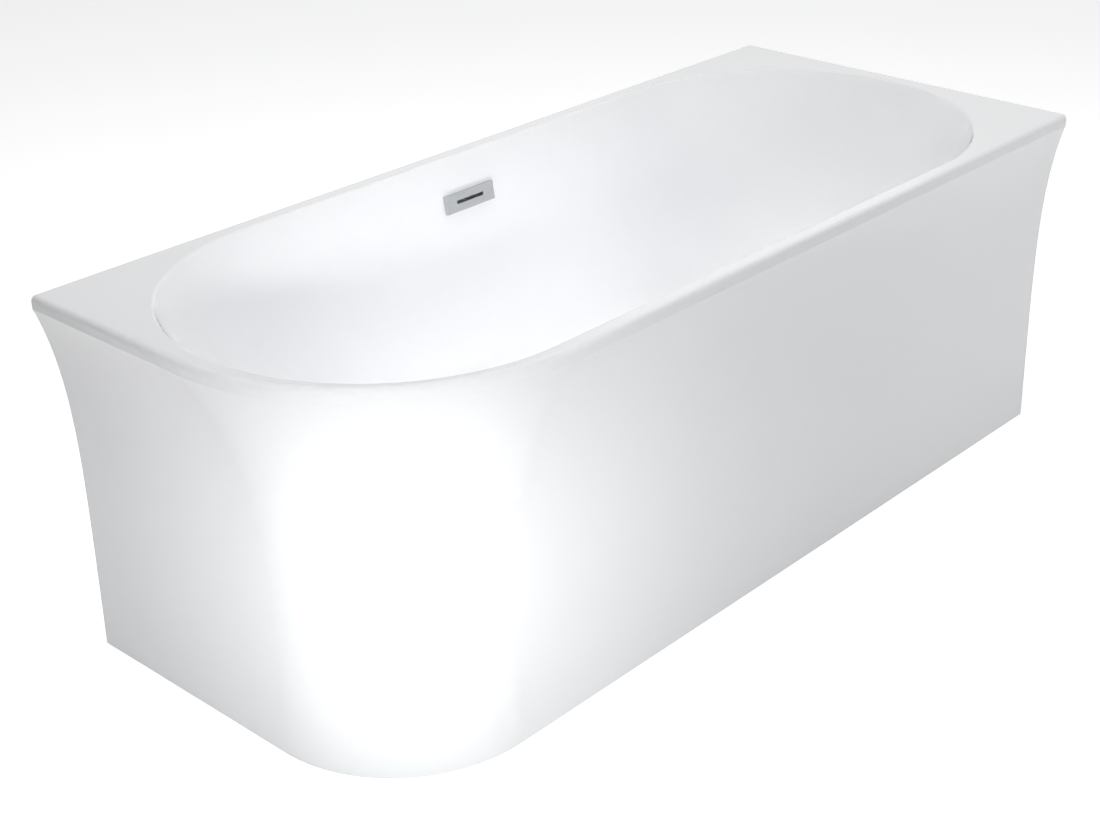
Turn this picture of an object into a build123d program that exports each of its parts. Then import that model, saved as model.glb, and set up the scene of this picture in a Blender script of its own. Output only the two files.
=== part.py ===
from build123d import *
import math
import os

# A corner bathtub of moulded acrylic. Its back and its right end stand against two walls.
# A one-piece apron, flared and rounded at the free corner, closes its front and its left end.
# Millimetres. The origin is on the floor under the middle of the bath.
# +X runs along the bath to the end wall, +Y to the back wall and +Z up.

# Overall sizes
length = 1650.0
width = 700.0
height = 600.0

# Tub shell
shell_wall = 5.0
lip_height = 20.0
lip_round = 9.0
wall_edge_round = 2.0
deck_side = 25.0
deck_end = 30.0
basin_depth = 430.0
basin_edge_round = 5.0
side_slope = 9.5
end_slope = 24.0
floor_round = 90.0

# Apron
apron_wall = 5.0
flare_front = 37.0
flare_end = 46.0
flare_power = 5.0
corner_growth = 50.0
corner_tightening = 140.0
seam = 0.8
tongue_wall = 4.0
tongue_top_gap = 3.0
ledge_height = 12.0
ledge_start = 5.0
fit_gap = 0.4
apron_sections = 10

# Boards and battens
board_wall = 16.0
board_edge_gap = 7.0
board_hole_gap = 4.0
corner_board_wall = 12.0
corner_board_inset = 26.0
corner_board_gap = 25.0
batten_gap = 0.3
batten_basin_gap = 0.8
batten_end_wall = 14.0
batten_end_gap = 20.0
floor_batten_wall = 20.0
floor_batten_height = 32.0
floor_batten_lift = 3.0

# Frame and feet
rail_width = 30.0
rail_height = 40.0
rail_wall = 2.0
rail_from_board_end = 150.0
rail_end_inset = 3.0
cap_wall = 3.0
cap_plug = 14.0
foot_from_rail_end = 35.0
spindle_radius = 6.0
spindle_chamfer = 1.0
running_gap = 0.1
bush_barrel_radius = 8.8
bush_hole_gap = 0.2
bush_hex = 24.0
bush_flange = 6.0
bush_barrel = 10.0
lock_nut_hex = 19.0
lock_nut_height = 10.0
spindle_top_room = 19.0
spindle_hex = 17.0
spindle_hex_height = 8.0
pad_radius = 26.0
pad_base = 5.0
pad_height = 15.0
pad_hub_radius = 13.0
pad_cone_radius = 17.0
pad_edge = 1.0
pad_socket_gap = 0.3

# Screws
screw_radius = 2.2
screw_hole_gap = 0.15
screw_head_radius = 4.4
screw_head_height = 2.6
rail_screw_bite = 12.0
rail_screw_insets = (55.0, 125.0)
bracket_screw_length = 14.0

# Wall clips and floor brackets
clip_width = 50.0
clip_wall = 3.0
clip_height = 60.0
clip_reach = 18.0
clip_hole_radius = 2.75
clip_hole_spacing = 26.0
clip_hole_drop = 38.0
clip_from_end = 405.0
bracket_width = 40.0
bracket_leg = 30.0
bracket_wall = 2.0
bracket_hole_radius = 2.75
bracket_hole_out = 18.0
front_bracket_count = 3
left_bracket_shares = (0.2, 0.8)
bracket_screw_level = 18.0

# Overflow
overflow_depth = 78.0
overflow_hole = (92.0, 22.0)
plate_size = (112.0, 32.0)
plate_wall = 3.0
plate_corner = 1.2
plate_slot = (62.0, 6.0)
plate_rim = 1.5
plate_stand_off = 0.3
collar_screw_sink = 0.2
collar_size = (106.0, 28.0)
collar_wall = 2.0
collar_opening = (62.0, 16.0)
collar_screw_x = 38.0
collar_screw_radius = 2.0
collar_screw_length = 16.0
gasket_size = (106.0, 32.0)
gasket_wall = 2.0
chamber_depth = 20.0
chamber_wall = 2.5
chamber_hollow = (62.0, 22.0)
wall_room = 2.5
pipe_radius = 14.0
pipe_wall = 1.6
pipe_bend = 55.0
pipe_socket = 14.0
pipe_nut_wall = 2.2
pipe_nut_height = 20.0
pipe_nut_basin_gap = 1.9
neck_wall = 2.4
neck_length = 30.0
neck_upper_radius = 11.0
neck_upper_bore = 9.0
neck_lap = 1.5
neck_gasket_gap = 0.1
inlet_neck = 24.0
slide_gap = 0.2
seal_wall = 3.0

# Waste and plug
waste_edge = 77.0
waste_hole_radius = 27.0
recess_radius = 37.5
recess_depth = 3.0
boss_radius = 46.0
boss_drop = 6.0
flange_radius = 37.0
flange_wall = 2.4
flange_chamfer = 0.8
flange_seal = 0.6
throat_radius = 22.0
throat_outer_radius = 24.6
throat_length = 26.0
spider_height = 4.0
spider_hub_radius = 11.0
spider_arm = 5.0
body_seal = 2.0
body_flange_radius = 44.0
body_flange = 5.0
body_radius = 36.0
body_wall = 3.0
inlet_floor_gap = 0.1
pipe_board_gap = 1.5
outlet_neck_radius = 23.0
outlet_neck_bore = 20.0
outlet_neck = 14.0
cartridge_radius = 10.0
cartridge_upper_radius = 8.0
cartridge_height = 20.0
stem_radius = 4.0
stem_length = 20.0
stem_gap = 0.08
cartridge_floor = 4.4
stud_radius = 4.3
plug_radius = 31.5
plug_edge = 2.0
plug_dome = 4.0
plug_seal_radius = 29.0
plug_seal_inner = 24.0
plug_seal_wall = 1.6
seat_gap = 0.3

# Trap and outlet
trap_radius = 46.0
trap_wall = 3.0
trap_height = 75.0
trap_barrel_height = 57.0
trap_nut_gap = 2.0
dip_outer = 20.0
dip_bore = 17.5
dip_depth = 62.0
collar_flange = 3.0
trap_nut_radius = 31.0
trap_nut_height = 20.0
washer_wall = 2.0
cup_wall = 4.0
cup_seal_wall = 2.0
grip_count = 12
grip_radius = 3.0
grip_depth = 1.0
outlet_stub_gap = 1.0
outlet_stub_radius = 23.0
outlet_stub_end = 72.0
outlet_radius = 20.0
outlet_wall = 2.0
outlet_step = 1.0
outlet_insert = 12.0
outlet_shoulder = 80.0
outlet_end = 165.0
outlet_nut_radius = 29.0
outlet_nut_length = 24.0
nut_lip = 3.0
cut = 5.0

# Values that follow from those above
half_length = length / 2
half_width = width / 2
side_tan = math.tan(math.radians(side_slope))
end_tan = math.tan(math.radians(end_slope))
basin_half_length = half_length - deck_end
basin_half_width = half_width - deck_side
floor_level = height - basin_depth
floor_half_length = basin_half_length - basin_depth * end_tan
floor_half_width = basin_half_width - basin_depth * side_tan
flat_half_length = floor_half_length - floor_round * math.tan(math.radians(45 - end_slope / 2))
flat_half_width = floor_half_width - floor_round * math.tan(math.radians(45 - side_slope / 2))
rim_corner_radius = basin_half_width + corner_growth
deck_under = height - shell_wall
lip_bottom = height - lip_height
apron_top = lip_bottom - seam
tongue_inset = shell_wall + fit_gap
tongue_inner = tongue_inset + tongue_wall
waste_y = flat_half_width - waste_edge
board_top = floor_level - shell_wall
board_bottom = board_top - board_wall
rail_bottom = board_bottom - rail_height
rail_x = flat_half_length - board_edge_gap - rail_from_board_end
rail_half_length = floor_half_width - rail_end_inset
foot_y = rail_half_length - foot_from_rail_end
foot_places = [(x, y) for x in (-rail_x, rail_x) for y in (-foot_y, foot_y)]
board_half_width = flat_half_width - board_edge_gap
rail_screw_y = [side * (board_half_width - inset) for inset in rail_screw_insets for side in (-1, 1)]
rail_screw_places = [(x, y) for x in (-rail_x, rail_x) for y in rail_screw_y]
neck_radius = pipe_radius + slide_gap + neck_wall
pipe_nut_radius = neck_radius + slide_gap + pipe_nut_wall
inlet_level = board_bottom - pipe_board_gap - pipe_nut_radius
inlet_floor = inlet_level - pipe_radius + pipe_wall - inlet_floor_gap
body_top = floor_level - shell_wall - boss_drop - body_seal
body_bottom = inlet_floor - body_wall
body_height = body_top - body_bottom
collar_top = body_bottom - outlet_neck - washer_wall
trap_nut_bottom = collar_top - collar_flange - nut_lip
trap_top = trap_nut_bottom - trap_nut_gap
trap_bottom = trap_top - trap_height
trap_barrel_bottom = trap_top - trap_barrel_height
dip_bottom = trap_top - dip_depth
outlet_level = trap_top - outlet_stub_gap - outlet_stub_radius
cup_rim_top = outlet_level - outlet_stub_radius - outlet_stub_gap
spigot_radius = outlet_radius - outlet_step


# Outlines that several pieces share
def corner_edges(front_inset, end_inset, corner_radius, wall_inset=0.0):
    """The bath's plan, square at three corners and round at the free one, inset from the rim."""
    left = end_inset - half_length
    front = front_inset - half_width
    right = half_length - wall_inset
    back = half_width - wall_inset
    with BuildLine() as plan:
        Line((left, back), (left, front + corner_radius))
        CenterArc((left + corner_radius, front + corner_radius), corner_radius, 180, 90)
        Line((left + corner_radius, front), (right, front))
        Line((right, front), (right, back))
        Line((right, back), (left, back))
    return plan.edges()


def corner_outline(level, front_inset, end_inset, corner_radius, wall_inset=0.0):
    """The same plan as a face at one level."""
    with BuildSketch(Plane.XY.offset(level)) as outline:
        make_face(corner_edges(front_inset, end_inset, corner_radius, wall_inset))
    return outline.sketch


def edge_band(level, outer_inset, inner_inset, wall_inset=0.0):
    """A band along the front, the free corner and the left end, open at both walls."""
    with BuildSketch(Plane.XY.offset(level)) as band:
        make_face(corner_edges(outer_inset, outer_inset, rim_corner_radius - outer_inset, wall_inset))
        make_face(
            corner_edges(inner_inset, inner_inset, rim_corner_radius - inner_inset, -cut),
            mode=Mode.SUBTRACT,
        )
    return band.sketch


def apron_section(level, inset, wall_inset=0.0):
    """The apron's plan at one level. Its flare opens slowly from the floor and fast at the rim."""
    rise = (level / apron_top) ** flare_power
    radius = rim_corner_radius - corner_tightening * (1 - rise)
    return corner_outline(
        level,
        flare_front * (1 - rise) + inset,
        flare_end * (1 - rise) + inset,
        radius - inset,
        wall_inset,
    )


def basin_section(level, growth):
    """The basin's plan at one level: straight sides and half-round ends."""
    depth = height - level
    with BuildSketch(Plane.XY.offset(level)) as section:
        SlotOverall(
            2 * (basin_half_length - depth * end_tan + growth),
            2 * (basin_half_width - depth * side_tan + growth),
        )
    return section.sketch


def ring(plane, outer_radius, inner_radius, depth):
    """A plain round ring or washer that stands on a plane."""
    with BuildPart() as body:
        with BuildSketch(plane):
            Circle(outer_radius)
            Circle(inner_radius, mode=Mode.SUBTRACT)
        extrude(amount=depth)
    return body.part


def union_nut(plane, outer_radius, thread_radius, throat, depth):
    """A ribbed union nut. Its lip, at the plane, closes in on the pipe that it holds."""
    with BuildPart() as body:
        with BuildSketch(plane):
            Circle(outer_radius)
            with PolarLocations(outer_radius + grip_radius - grip_depth, grip_count):
                Circle(grip_radius, mode=Mode.SUBTRACT)
            Circle(throat, mode=Mode.SUBTRACT)
        extrude(amount=depth)
        with BuildSketch(plane.offset(nut_lip)):
            Circle(thread_radius)
        extrude(amount=depth, mode=Mode.SUBTRACT)
    return body.part


def save(piece, name):
    """Labels a finished piece and writes it under its own name."""
    piece.label = name
    export_step(piece, f"parts/{name}.step")


os.makedirs("parts", exist_ok=True)

# The basin's hollow
with BuildPart() as basin_hollow:
    loft(sections=[basin_section(floor_level, 0), basin_section(height, 0)], ruled=True)
    fillet(basin_hollow.faces().sort_by(Axis.Z)[0].edges(), floor_round)

# The overflow's place on the sloped back wall: the plane faces into the basin, its y runs up
overflow_level = height - overflow_depth
overflow_face_y = basin_half_width - overflow_depth * side_tan
slope = math.radians(side_slope)
overflow_plane = Plane(
    origin=(0, overflow_face_y, overflow_level),
    x_dir=(1, 0, 0),
    z_dir=(0, -math.cos(slope), math.sin(slope)),
)
shell_back = -shell_wall * math.cos(slope)

# Tub shell: deck, turned-down lip and basin in one moulding
with BuildPart() as tub_shell:
    basin_foot = floor_level - shell_wall
    loft(
        sections=[basin_section(basin_foot, shell_wall), basin_section(deck_under, shell_wall)],
        ruled=True,
    )
    fillet(tub_shell.faces().sort_by(Axis.Z)[0].edges(), floor_round + shell_wall)
    with BuildSketch(Plane.XY.offset(basin_foot - boss_drop)):
        with Locations((0, waste_y)):
            Circle(boss_radius)
    extrude(amount=boss_drop + shell_wall)
    with BuildSketch(Plane.XY.offset(lip_bottom)):
        make_face(corner_edges(0, 0, rim_corner_radius))
        make_face(
            corner_edges(shell_wall, shell_wall, rim_corner_radius - shell_wall, shell_wall),
            mode=Mode.SUBTRACT,
        )
    extrude(amount=lip_height)
    with BuildSketch(Plane.XY.offset(deck_under)):
        make_face(corner_edges(0, 0, rim_corner_radius))
    extrude(amount=shell_wall)
    add(basin_hollow.part, mode=Mode.SUBTRACT)
    deck = tub_shell.faces().filter_by(Axis.Z).sort_by(Axis.Z)[-1]
    fillet(deck.inner_wires()[0].edges(), basin_edge_round)
    deck = tub_shell.faces().filter_by(Axis.Z).sort_by(Axis.Z)[-1]
    free_edges = [
        edge
        for edge in deck.outer_wire().edges()
        if edge.center().Y < half_width - cut and edge.center().X < half_length - cut
    ]
    fillet(free_edges, lip_round)
    deck = tub_shell.faces().filter_by(Axis.Z).sort_by(Axis.Z)[-1]
    wall_edges = [
        edge
        for edge in deck.outer_wire().edges()
        if edge.center().Y > half_width - cut or edge.center().X > half_length - cut
    ]
    fillet(wall_edges, wall_edge_round)
    with BuildSketch(overflow_plane.offset(shell_wall)):
        SlotOverall(*overflow_hole)
    extrude(amount=-3 * shell_wall, mode=Mode.SUBTRACT)
    with BuildSketch(Plane.XY.offset(floor_level - recess_depth)):
        with Locations((0, waste_y)):
            Circle(recess_radius)
    extrude(amount=2 * recess_depth, mode=Mode.SUBTRACT)
    with BuildSketch(Plane.XY.offset(basin_foot - boss_drop)):
        with Locations((0, waste_y)):
            Circle(waste_hole_radius)
    extrude(amount=boss_drop + 2 * shell_wall, mode=Mode.SUBTRACT)
save(tub_shell.part, "tub_shell")

# Apron: a flared sheet that ends flush under the lip, with a tongue that stands up behind it
apron_levels = [apron_top * step / apron_sections for step in range(apron_sections + 1)]
with BuildPart() as apron_panel:
    loft(sections=[apron_section(level, 0) for level in apron_levels])
    loft(
        sections=[
            apron_section(level, apron_wall, -cut) for level in [-cut, *apron_levels[1:], apron_top + cut]
        ],
        mode=Mode.SUBTRACT,
    )
    extrude(edge_band(apron_top - ledge_height, ledge_start, tongue_inner), amount=ledge_height)
    extrude(
        edge_band(apron_top, tongue_inset, tongue_inner, tongue_inset),
        amount=deck_under - tongue_top_gap - apron_top,
    )
save(apron_panel.part, "apron_panel")

# Base board bonded under the basin's floor, with the waste's opening in it
with BuildPart() as base_board:
    with BuildSketch(Plane.XY.offset(board_bottom)):
        SlotOverall(
            2 * (flat_half_length - board_edge_gap),
            2 * board_half_width,
        )
        with Locations((0, waste_y)):
            Circle(boss_radius + board_hole_gap, mode=Mode.SUBTRACT)
        with Locations(*rail_screw_places):
            Circle(screw_radius + screw_hole_gap, mode=Mode.SUBTRACT)
    extrude(amount=board_wall)
save(base_board.part, "base_board")

# Gussets under the three square corners of the deck
basin_outer = basin_half_width + shell_wall
corner_room = math.hypot(deck_end + basin_half_width, deck_side + basin_half_width) - basin_outer
corner_leg = (corner_room - corner_board_gap) * math.sqrt(2) - 2 * corner_board_inset
for name, side_x, side_y in (
    ("corner_board_back_left", -1, 1),
    ("corner_board_back_right", 1, 1),
    ("corner_board_front_right", 1, -1),
):
    tip = (side_x * (half_length - corner_board_inset), side_y * (half_width - corner_board_inset))
    with BuildPart() as corner_board:
        with BuildSketch(Plane.XY.offset(deck_under - corner_board_wall)):
            with BuildLine():
                Polyline(
                    tip,
                    (tip[0] - side_x * corner_leg, tip[1]),
                    (tip[0], tip[1] - side_y * corner_leg),
                    close=True,
                )
            make_face()
        extrude(amount=corner_board_wall)
    save(corner_board.part, name)


# Battens under the rim and along the apron's foot
def batten(name, low, high, screw_planes=()):
    """A straight batten between two opposite corners, with pilot holes on the planes given."""
    with BuildPart() as strip:
        with Locations((Vector(low) + Vector(high)) / 2):
            Box(*(Vector(high) - Vector(low)))
        for screw_plane in screw_planes:
            with BuildSketch(screw_plane):
                with Locations(*bracket_screw_points):
                    Circle(screw_radius + screw_hole_gap)
            extrude(amount=-bracket_screw_length, mode=Mode.SUBTRACT)
    save(strip.part, name)


front_start = tongue_inner + batten_gap
wall_start = shell_wall + batten_gap
batten_basin_y = basin_half_width + shell_wall + batten_basin_gap
batten(
    "rim_batten_front",
    (rim_corner_radius - half_length, front_start - half_width, lip_bottom),
    (half_length - batten_end_gap, -batten_basin_y, deck_under),
)
batten(
    "rim_batten_left",
    (front_start - half_length, rim_corner_radius - half_width, lip_bottom),
    (front_start + batten_end_wall - half_length, half_width - batten_end_gap, deck_under),
)
batten(
    "rim_batten_back",
    (basin_half_width - basin_half_length, batten_basin_y, lip_bottom),
    (basin_half_length - basin_half_width, half_width - wall_start, deck_under),
)
batten(
    "rim_batten_right",
    (half_length - wall_start - batten_end_wall, -half_width / 2, lip_bottom),
    (half_length - wall_start, half_width / 2, deck_under),
)

# Floor brackets are angles behind the apron's battens, with one leg on the floor
floor_corner_radius = rim_corner_radius - corner_tightening
front_inside = flare_front + apron_wall + batten_gap - half_width
left_inside = flare_end + apron_wall + batten_gap - half_length
front_batten_start = flare_end + floor_corner_radius - half_length
front_batten_end = half_length - batten_end_gap
left_batten_start = flare_front + floor_corner_radius - half_width
left_batten_end = half_width - batten_end_gap
front_span = front_batten_end - front_batten_start
left_span = left_batten_end - left_batten_start
front_bracket_x = [
    front_batten_start + front_span * (number + 1 / 2) / front_bracket_count
    for number in range(front_bracket_count)
]
left_bracket_y = [left_batten_start + left_span * share for share in left_bracket_shares]
front_planes = [Plane((x, front_inside + floor_batten_wall, 0)) for x in front_bracket_x]
left_planes = [
    Plane((left_inside + floor_batten_wall, y, 0), (0, -1, 0), (0, 0, 1)) for y in left_bracket_y
]
bracket_screw_points = [(side * bracket_width / 4, -bracket_screw_level) for side in (-1, 1)]


def upright(plane):
    """The plane of a bracket's standing leg, facing away from the batten."""
    return Plane(plane.origin, plane.x_dir, plane.y_dir)


batten(
    "apron_batten_front",
    (front_batten_start, front_inside, floor_batten_lift),
    (front_batten_end, front_inside + floor_batten_wall, floor_batten_lift + floor_batten_height),
    [upright(plane) for plane in front_planes],
)
batten(
    "apron_batten_left",
    (left_inside, left_batten_start, floor_batten_lift),
    (left_inside + floor_batten_wall, left_batten_end, floor_batten_lift + floor_batten_height),
    [upright(plane) for plane in left_planes],
)

with BuildPart() as floor_brackets:
    for plane in front_planes + left_planes:
        with BuildSketch(plane):
            with Locations((0, bracket_leg / 2)):
                Rectangle(bracket_width, bracket_leg)
            with Locations((0, bracket_hole_out)):
                Circle(bracket_hole_radius, mode=Mode.SUBTRACT)
        extrude(amount=bracket_wall)
        with BuildSketch(plane):
            with Locations((0, bracket_wall / 2)):
                Rectangle(bracket_width, bracket_wall)
        extrude(amount=bracket_leg)
        with BuildSketch(upright(plane)):
            with Locations(*bracket_screw_points):
                Circle(screw_radius + screw_hole_gap)
        extrude(amount=bracket_wall, mode=Mode.SUBTRACT)
save(floor_brackets.part, "floor_brackets")

with BuildPart() as bracket_screws:
    for plane in front_planes + left_planes:
        with BuildSketch(upright(plane).offset(bracket_wall)):
            with Locations(*bracket_screw_points):
                Circle(screw_head_radius)
        extrude(amount=screw_head_height)
        with BuildSketch(upright(plane).offset(bracket_wall)):
            with Locations(*bracket_screw_points):
                Circle(screw_radius)
        extrude(amount=-bracket_screw_length)
save(bracket_screws.part, "bracket_screws")

# Two cross rails of square tube under the base board, each on two feet
for name, side in (("cross_rail_left", -1), ("cross_rail_right", 1)):
    with BuildPart() as cross_rail:
        with Locations((side * rail_x, 0, rail_bottom + rail_height / 2)):
            Box(rail_width, 2 * rail_half_length, rail_height)
            Box(
                rail_width - 2 * rail_wall,
                2 * rail_half_length,
                rail_height - 2 * rail_wall,
                mode=Mode.SUBTRACT,
            )
        with BuildSketch(Plane.XY.offset(rail_bottom)):
            with Locations((side * rail_x, -foot_y), (side * rail_x, foot_y)):
                Circle(bush_barrel_radius + bush_hole_gap)
        extrude(amount=rail_wall, mode=Mode.SUBTRACT)
        with BuildSketch(Plane.XY.offset(rail_bottom)):
            with Locations(*[(side * rail_x, y) for y in rail_screw_y]):
                Circle(screw_radius + screw_hole_gap)
        extrude(amount=rail_height, mode=Mode.SUBTRACT)
    save(cross_rail.part, name)

with BuildPart() as rail_end_caps:
    for side in (-1, 1):
        facing = Plane((0, side * rail_half_length, rail_bottom + rail_height / 2), (1, 0, 0), (0, side, 0))
        with BuildSketch(facing):
            with GridLocations(2 * rail_x, 0, 2, 1):
                Rectangle(rail_width, rail_height)
        extrude(amount=cap_wall)
        with BuildSketch(facing):
            with GridLocations(2 * rail_x, 0, 2, 1):
                Rectangle(
                    rail_width - 2 * (rail_wall + slide_gap),
                    rail_height - 2 * (rail_wall + slide_gap),
                )
        extrude(amount=-cap_plug)
save(rail_end_caps.part, "rail_end_caps")

with BuildPart() as rail_screws:
    with BuildSketch(Plane.XY.offset(rail_bottom)):
        with Locations(*rail_screw_places):
            Circle(screw_head_radius)
    extrude(amount=-screw_head_height)
    with BuildSketch(Plane.XY.offset(rail_bottom)):
        with Locations(*rail_screw_places):
            Circle(screw_radius)
    extrude(amount=rail_height + rail_screw_bite)
save(rail_screws.part, "rail_screws")

# Threaded bushes in the rails and the nuts that lock the spindles under them
with BuildPart() as rail_bushes:
    with BuildSketch(Plane.XY.offset(rail_bottom)):
        with Locations(*foot_places):
            RegularPolygon(bush_hex / 2, 6, major_radius=False)
            Circle(spindle_radius + running_gap, mode=Mode.SUBTRACT)
    extrude(amount=-bush_flange)
    with BuildSketch(Plane.XY.offset(rail_bottom)):
        with Locations(*foot_places):
            Circle(bush_barrel_radius)
            Circle(spindle_radius + running_gap, mode=Mode.SUBTRACT)
    extrude(amount=bush_barrel)
save(rail_bushes.part, "rail_bushes")

lock_nut_top = rail_bottom - bush_flange
with BuildPart() as lock_nuts:
    with BuildSketch(Plane.XY.offset(lock_nut_top)):
        with Locations(*foot_places):
            RegularPolygon(lock_nut_hex / 2, 6, major_radius=False)
            Circle(spindle_radius + running_gap, mode=Mode.SUBTRACT)
    extrude(amount=-lock_nut_height)
save(lock_nuts.part, "lock_nuts")

# Four feet: a spindle whose lower end stands in the socket of a round pad
spindle_foot = pad_base + fit_gap
spindle_top = board_bottom - rail_wall - spindle_top_room
for number, place in enumerate(foot_places, start=1):
    with BuildPart() as foot_spindle:
        with BuildSketch(Plane.XY.offset(spindle_foot)):
            with Locations(place):
                Circle(spindle_radius)
        extrude(amount=spindle_top - spindle_foot)
        chamfer(foot_spindle.edges().filter_by(GeomType.CIRCLE), spindle_chamfer)
        with BuildSketch(Plane.XY.offset(pad_height + fit_gap)):
            with Locations(place):
                RegularPolygon(spindle_hex / 2, 6, major_radius=False)
        extrude(amount=spindle_hex_height)
    save(foot_spindle.part, f"foot_spindle_{number}")
    upright_plane = Plane((*place, 0), (1, 0, 0), (0, -1, 0))
    with BuildPart() as foot_pad:
        with BuildSketch(upright_plane):
            with BuildLine():
                Polyline(
                    (0, 0),
                    (pad_radius - pad_edge, 0),
                    (pad_radius, pad_edge),
                    (pad_radius, pad_base - pad_edge),
                    (pad_radius - pad_edge, pad_base),
                    (pad_cone_radius, pad_base + 2 * pad_edge),
                    (pad_hub_radius, pad_height),
                    (spindle_radius + pad_socket_gap, pad_height),
                    (spindle_radius + pad_socket_gap, pad_base),
                    (0, pad_base),
                    close=True,
                )
            make_face()
        revolve(axis=Axis((*place, 0), (0, 0, 1)))
    save(foot_pad.part, f"foot_pad_{number}")

# Clips on the walls carry the lip from below
clip_x = half_length - clip_from_end
for name, origin, along, inward in (
    ("wall_clip_back_left", (-clip_x, half_width, lip_bottom), (1, 0, 0), (0, -1, 0)),
    ("wall_clip_back_right", (clip_x, half_width, lip_bottom), (1, 0, 0), (0, -1, 0)),
    ("wall_clip_end", (half_length, 0, lip_bottom), (0, -1, 0), (-1, 0, 0)),
):
    clip_plane = Plane(origin, along, inward)
    with BuildPart() as wall_clip:
        with BuildSketch(clip_plane):
            with Locations((0, -clip_height / 2)):
                Rectangle(clip_width, clip_height)
            with Locations((0, -clip_hole_drop)):
                with GridLocations(clip_hole_spacing, 0, 2, 1):
                    Circle(clip_hole_radius, mode=Mode.SUBTRACT)
        extrude(amount=clip_wall)
        with BuildSketch(clip_plane):
            with Locations((0, -clip_wall / 2)):
                Rectangle(clip_width, clip_wall)
        extrude(amount=clip_reach)
    save(wall_clip.part, name)

# Overflow: a cover plate and a clamping collar inside, a gasket and a chamber behind the wall
with BuildPart() as overflow_plate:
    with BuildSketch(overflow_plane.offset(plate_stand_off)):
        RectangleRounded(*plate_size, plate_corner)
    extrude(amount=collar_wall + plate_wall - plate_stand_off)
    with BuildSketch(overflow_plane.offset(plate_stand_off)):
        Rectangle(plate_size[0] - 2 * plate_rim, plate_size[1] - 2 * plate_rim)
    extrude(amount=collar_wall, mode=Mode.SUBTRACT)
    with BuildSketch(overflow_plane):
        Rectangle(*plate_slot)
    extrude(amount=2 * (collar_wall + plate_wall), mode=Mode.SUBTRACT)
save(overflow_plate.part, "overflow_plate")

collar_screw_places = [(-collar_screw_x, 0), (collar_screw_x, 0)]
with BuildPart() as overflow_collar:
    with BuildSketch(overflow_plane):
        SlotOverall(*collar_size)
        SlotOverall(*collar_opening, mode=Mode.SUBTRACT)
        with Locations(*collar_screw_places):
            Circle(collar_screw_radius + screw_hole_gap, mode=Mode.SUBTRACT)
    extrude(amount=collar_wall)
save(overflow_collar.part, "overflow_collar")

with BuildPart() as overflow_screws:
    with BuildSketch(overflow_plane.offset(collar_wall - collar_screw_sink)):
        with Locations(*collar_screw_places):
            Circle(collar_screw_radius)
    extrude(amount=-collar_screw_length)
save(overflow_screws.part, "overflow_screws")

gasket_plane = overflow_plane.offset(shell_back - gasket_wall)
with BuildPart() as overflow_gasket:
    with BuildSketch(gasket_plane):
        RectangleRounded(*gasket_size, gasket_size[1] / 4)
        SlotOverall(*overflow_hole, mode=Mode.SUBTRACT)
    extrude(amount=gasket_wall)
save(overflow_gasket.part, "overflow_gasket")

pipe_y = half_width - wall_room - pipe_nut_radius
nut_room = basin_half_width + shell_wall + pipe_nut_basin_gap - (pipe_y - pipe_nut_radius)
neck_bottom = height - nut_room / side_tan + seal_wall + nut_lip - pipe_nut_height
neck_top = neck_bottom + neck_length
hollow_bottom = overflow_level - chamber_hollow[1] / 2
neck_upper_top = hollow_bottom + neck_lap
gasket_back_y = gasket_plane.origin.Y + (neck_upper_top - gasket_plane.origin.Z) * side_tan
neck_upper_y = gasket_back_y + neck_gasket_gap + neck_upper_radius
with BuildPart() as overflow_chamber:
    with BuildSketch(gasket_plane):
        RectangleRounded(*gasket_size, gasket_size[1] / 4)
    extrude(amount=-chamber_depth)
    with BuildSketch(gasket_plane):
        SlotOverall(*chamber_hollow)
    extrude(amount=chamber_wall - chamber_depth, mode=Mode.SUBTRACT)
    with BuildSketch(gasket_plane):
        with Locations(*collar_screw_places):
            Circle(collar_screw_radius + screw_hole_gap)
    extrude(amount=chamber_wall - chamber_depth, mode=Mode.SUBTRACT)
    for level, centre_y, radius, rise in (
        (neck_bottom, pipe_y, neck_radius, neck_length),
        (neck_top, neck_upper_y, neck_upper_radius, neck_upper_top - neck_top),
    ):
        with BuildSketch(Plane.XY.offset(level)):
            with Locations((0, centre_y)):
                Circle(radius)
        extrude(amount=rise)
    for centre_y, radius, rise in (
        (pipe_y, pipe_radius + slide_gap, pipe_socket + slide_gap),
        (neck_upper_y, neck_upper_bore, hollow_bottom - neck_bottom),
    ):
        with BuildSketch(Plane.XY.offset(neck_bottom)):
            with Locations((0, centre_y)):
                Circle(radius)
        extrude(amount=rise, mode=Mode.SUBTRACT)
save(overflow_chamber.part, "overflow_chamber")

# The rigid overflow pipe drops behind the basin and turns once into the waste body
inlet_end_y = waste_y + body_radius + inlet_neck
with BuildPart() as overflow_pipe:
    with BuildLine() as pipe_path:
        drop_end = (0, pipe_y, inlet_level + pipe_bend)
        drop = Line((0, pipe_y, neck_bottom + pipe_socket), drop_end)
        turn = TangentArc(drop_end, (0, pipe_y - pipe_bend, inlet_level), tangent=(0, 0, -1))
        Line(turn @ 1, (0, inlet_end_y - pipe_socket, inlet_level))
    with BuildSketch(Plane(drop @ 0, (1, 0, 0), (0, 0, -1))):
        Circle(pipe_radius)
        Circle(pipe_radius - pipe_wall, mode=Mode.SUBTRACT)
    sweep()
save(overflow_pipe.part, "overflow_pipe")

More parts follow.
